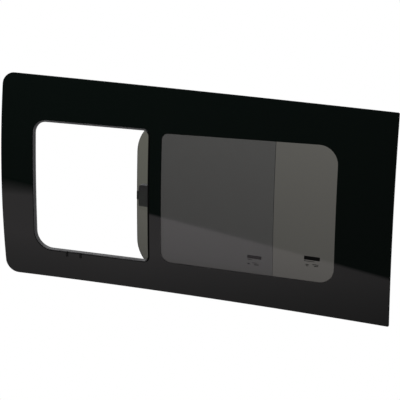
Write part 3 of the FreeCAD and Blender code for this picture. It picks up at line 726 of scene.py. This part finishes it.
def camera():
    """The camera at the photo's angle, distance and focal length."""
    data = bpy.data.cameras.new("photo_camera")
    data.sensor_width = SENSOR_WIDTH
    data.sensor_fit = "HORIZONTAL"
    data.lens = SENSOR_WIDTH * FOCAL_PIXELS / PHOTO_WIDTH
    data.clip_end = CAMERA_REACH
    item = bpy.data.objects.new("photo_camera", data)
    bpy.context.scene.collection.objects.link(item)
    a, e, r = CAMERA_AZIMUTH, CAMERA_ELEVATION, CAMERA_ROLL
    forward = Vector((-math.sin(a) * math.cos(e), math.cos(a) * math.cos(e), -math.sin(e)))
    level = Vector((math.cos(a), math.sin(a), 0))
    upright = level.cross(forward)
    right = level * math.cos(r) + upright * math.sin(r)
    up = upright * math.cos(r) - level * math.sin(r)
    turn = Matrix((right, up, -forward)).transposed().to_4x4()
    item.matrix_world = Matrix.Translation(CAMERA_PLACE) @ turn
    bpy.context.scene.camera = item


# Stage: the floor's height, how far it reaches, and the line of its front edge
FLOOR_Z = MIDDLE_Z - 0.9
FLOOR_REACH = 6.0
FLOOR_EDGE_SLOPE = 0.518
FLOOR_EDGE_Y = -1.625 + CROWN_Y

# Colours of the backdrop and of the floor in front, at level 1
WHITE = (1, 1, 1, 1)
WARM_GREY = (1.0, 0.975, 0.79)
ROSY_GREY = (1.05, 0.95, 0.985)

# Levels of the surroundings behind the window and of the dark room in front of it
SURROUNDINGS = 0.55
ROOM = 0.03

# Each of the next is a stretch in metres, or of the way a ray goes, with the level at each end. First the
# floor: its glow across and away from the window, its soft front edge, and the part behind the window.
GLOW_ACROSS = {"From Min": -0.7, "From Max": 0.4, "To Min": 0.50, "To Max": 0.30}
GLOW_AWAY = {"From Min": -0.9, "From Max": -1.45, "To Min": 0.65, "To Max": 1.0}
EDGE_SOFTNESS = {"From Min": -1.95, "From Max": -1.35, "To Min": 0.60, "To Max": 0.05}
FLOOR_BEHIND = {"From Min": -0.75, "From Max": -0.35, "To Min": 0.0, "To Max": 1.0}

# The backdrop as it shows through glass: the floor near and far, measured aslant, and what is above it
BACKDROP_SLANT = 0.3
BACKDROP_NEAR = {"From Min": 1.60, "From Max": 1.95, "To Min": 0.100, "To Max": 0.127}
BACKDROP_FAR = {"From Min": 1.95, "From Max": 3.50, "To Min": 0.0, "To Max": 0.049}
BACKDROP_ABOVE = {"From Min": -0.30, "From Max": -0.20, "To Min": 0.170, "To Max": 0.184}

# The world as all other rays see it: from the room to the surroundings behind, and a pale side
WORLD_BEHIND = {"From Min": -0.05, "From Max": 0.20, "To Min": ROOM, "To Max": SURROUNDINGS}
WORLD_SIDE = {"From Min": 0.45, "From Max": 0.95, "To Min": 0.0, "To Max": 0.3}

# Lamps: name, place with its height above the middle of the glass, aim, size, radiance, and whether gloss
# mirrors the panel
MIDDLE = (0, 0, MIDDLE_Z)
LAMPS = (
    ("overhead_softbox", (-0.6, -0.5, 1.6), (-0.6, -0.5, 0), (2.4, 1.6), 3.6, True),
    ("front_fill", (-1.6, -2.6, 1.4), MIDDLE, (1.6, 1.6), 8.5, False),
    ("side_fill", (2.4, -1.8, 0.6), MIDDLE, (1.2, 1.2), 0.8, False),
)


def seen_colour(tree, backdrop, other):
    """White straight to the camera, a warm grey backdrop through glass, another grey for all other rays."""
    path = add(tree, "ShaderNodeLightPath")
    through = add(tree, "ShaderNodeMath", {"operation": "GREATER_THAN", 1: 0.5},
                  {0: path.outputs["Transparent Depth"]})
    warm = add(tree, "ShaderNodeVectorMath", {"operation": "SCALE", 0: WARM_GREY}, {"Scale": backdrop})
    seen = add(tree, "ShaderNodeMix", {"data_type": "RGBA", 6: WHITE},
               {0: through.outputs["Value"], 7: warm.outputs["Vector"]})
    colour = add(tree, "ShaderNodeMix", {"data_type": "RGBA"},
                 {0: path.outputs["Is Camera Ray"], 6: other, 7: seen.outputs[2]})
    return colour.outputs[2]


def floor():
    """A pale floor that reaches in front of the window as far as its mirror image shows."""
    deselect()
    bpy.ops.mesh.primitive_plane_add(size=2)
    sheet = bpy.context.object
    sheet.name = "studio_floor"
    for vertex in sheet.data.vertices:
        x = FLOOR_REACH * vertex.co.x
        y = FLOOR_REACH if vertex.co.y > 0 else FLOOR_EDGE_Y + FLOOR_EDGE_SLOPE * x
        vertex.co = (x, y, FLOOR_Z)
    material, tree, point = new_material("pale_studio_floor")
    place = add(tree, "ShaderNodeSeparateXYZ", links={"Vector": point})
    across = add(tree, "ShaderNodeMapRange", GLOW_ACROSS, {"Value": place.outputs["X"]})
    away = add(tree, "ShaderNodeMapRange", GLOW_AWAY, {"Value": place.outputs["Y"]})
    inwards = add(tree, "ShaderNodeMath", {"operation": "MULTIPLY_ADD", 1: -FLOOR_EDGE_SLOPE},
                  {0: place.outputs["X"], 2: place.outputs["Y"]})
    clear_of_edge = add(tree, "ShaderNodeMath", {"operation": "SUBTRACT", 1: FLOOR_EDGE_Y},
                        {0: inwards.outputs["Value"]})
    softness = add(tree, "ShaderNodeMapRange", EDGE_SOFTNESS, {"Value": place.outputs["X"]})
    fade = add(tree, "ShaderNodeMath", {"operation": "DIVIDE", "use_clamp": True},
               {0: clear_of_edge.outputs["Value"], 1: softness.outputs["Result"]})
    lit = add(tree, "ShaderNodeMath", {"operation": "MULTIPLY"},
              {0: across.outputs["Result"], 1: away.outputs["Result"]})
    front = add(tree, "ShaderNodeMath", {"operation": "MULTIPLY"},
                {0: lit.outputs["Value"], 1: fade.outputs["Value"]})
    rosy = add(tree, "ShaderNodeVectorMath", {"operation": "SCALE", 0: ROSY_GREY},
               {"Scale": front.outputs["Value"]})
    behind = add(tree, "ShaderNodeMapRange", FLOOR_BEHIND, {"Value": place.outputs["Y"]})
    glowing = add(tree, "ShaderNodeMix", {"data_type": "RGBA", 7: (SURROUNDINGS,) * 3 + (1.0,)},
                  {0: behind.outputs["Result"], 6: rosy.outputs["Vector"]})
    aslant = add(tree, "ShaderNodeMath", {"operation": "MULTIPLY_ADD", 1: BACKDROP_SLANT},
                 {0: place.outputs["X"], 2: place.outputs["Y"]})
    near = add(tree, "ShaderNodeMapRange", BACKDROP_NEAR, {"Value": aslant.outputs["Value"]})
    far = add(tree, "ShaderNodeMapRange", BACKDROP_FAR, {"Value": aslant.outputs["Value"]})
    backdrop = add(tree, "ShaderNodeMath", {"operation": "ADD"},
                   {0: near.outputs["Result"], 1: far.outputs["Result"]})
    seen = seen_colour(tree, backdrop.outputs["Value"], glowing.outputs[2])
    glow = add(tree, "ShaderNodeEmission", links={"Color": seen})
    finish_material(tree, glow.outputs["Emission"])
    sheet.data.materials.append(material)


def world():
    """White straight to the camera; for other rays, pale surroundings behind the window and a dark room."""
    sky = bpy.data.worlds.new("studio")
    bpy.context.scene.world = sky
    sky.use_nodes = True
    tree = sky.node_tree
    tree.nodes.clear()
    course = add(tree, "ShaderNodeTexCoord").outputs["Generated"]
    way = add(tree, "ShaderNodeSeparateXYZ", links={"Vector": course})
    behind = add(tree, "ShaderNodeMapRange", WORLD_BEHIND, {"Value": way.outputs["Y"]})
    side = add(tree, "ShaderNodeMapRange", WORLD_SIDE, {"Value": way.outputs["X"]})
    level = add(tree, "ShaderNodeMath", {"operation": "MAXIMUM"},
                {0: behind.outputs["Result"], 1: side.outputs["Result"]})
    backdrop = add(tree, "ShaderNodeMapRange", BACKDROP_ABOVE, {"Value": way.outputs["Z"]})
    seen = seen_colour(tree, backdrop.outputs["Result"], level.outputs["Value"])
    back = add(tree, "ShaderNodeBackground", links={"Color": seen})
    add(tree, "ShaderNodeOutputWorld", links={"Surface": back.outputs["Background"]})


def softbox(name, place, aim, size, radiance, mirrored):
    """A soft lamp facing a point, whose panel mirrors in gloss only where that is wanted."""
    data = bpy.data.lights.new(name, "AREA")
    data.shape = "RECTANGLE"
    data.size, data.size_y = size
    data.energy = radiance * math.pi * size[0] * size[1]
    item = bpy.data.objects.new(name, data)
    bpy.context.scene.collection.objects.link(item)
    item.location = place
    item.rotation_euler = (Vector(aim) - Vector(place)).to_track_quat("-Z", "Y").to_euler()
    item.visible_camera = False
    item.visible_glossy = mirrored


def lamps():
    """An overhead softbox, and soft fills in front and at the side."""
    for name, (x, y, height), aim, size, radiance, mirrored in LAMPS:
        softbox(name, (x, y, MIDDLE_Z + height), aim, size, radiance, mirrored)


bpy.context.scene.view_settings.view_transform = "Standard"
dress_packed_pieces()
fixed_glass()
sliding_glass()
printed_mark("fixed_glass_mark", FIXED_MARK, 0.0, "fixed_glass")
printed_mark("sliding_glass_mark", PANE_MARK, PANE_DEPTH, "sliding_glass")
keeper_screws()
splice_rivets("top", 1)
splice_rivets("bottom", -1)
camera()
floor()
world()
lamps()
